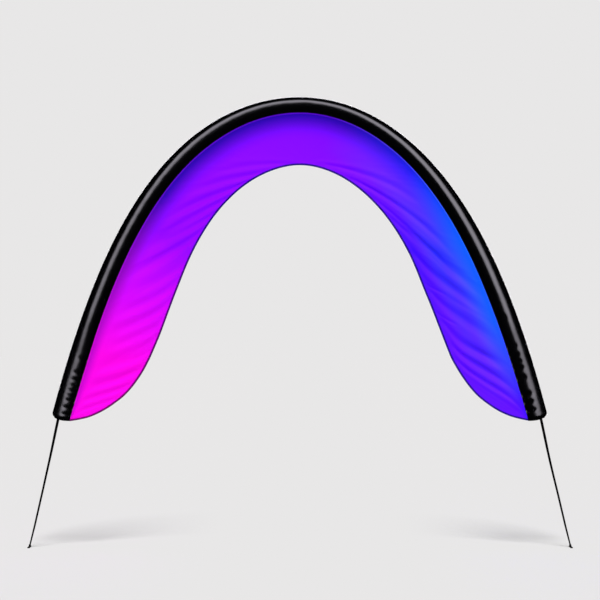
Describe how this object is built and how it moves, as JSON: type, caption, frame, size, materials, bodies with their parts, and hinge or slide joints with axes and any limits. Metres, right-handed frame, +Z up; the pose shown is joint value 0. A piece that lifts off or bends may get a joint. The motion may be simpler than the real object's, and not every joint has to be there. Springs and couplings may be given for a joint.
{
  "type": "banner arch and pole",
  "caption": "Free-standing gateway arch: a printed cloth crescent sewn to a black sleeve that rides on a bent tapered pole with a small foot at each end.",
  "frame": {"origin": "on the floor, midway between the two feet", "axes": "+X along the arch from its magenta leg to its blue leg, +Y to its back, +Z up"},
  "size_m": [3.02, 0.09, 2.4988],
  "materials": {
    "printed_cloth": "thin knitted polyester with a satin sheen, dyed in a run from magenta at the left through violet to blue at the right",
    "sleeve_cloth": "black stretch polyester with a soft sheen",
    "pole": "dark glass fibre rod, satin",
    "feet": "matt black rubber"
  },
  "bodies": {
    "root": {"panel": "printed_cloth", "sleeve": "sleeve_cloth", "pole": "pole", "foot_left": "feet", "foot_right": "feet"}
  },
  "joints": []
}
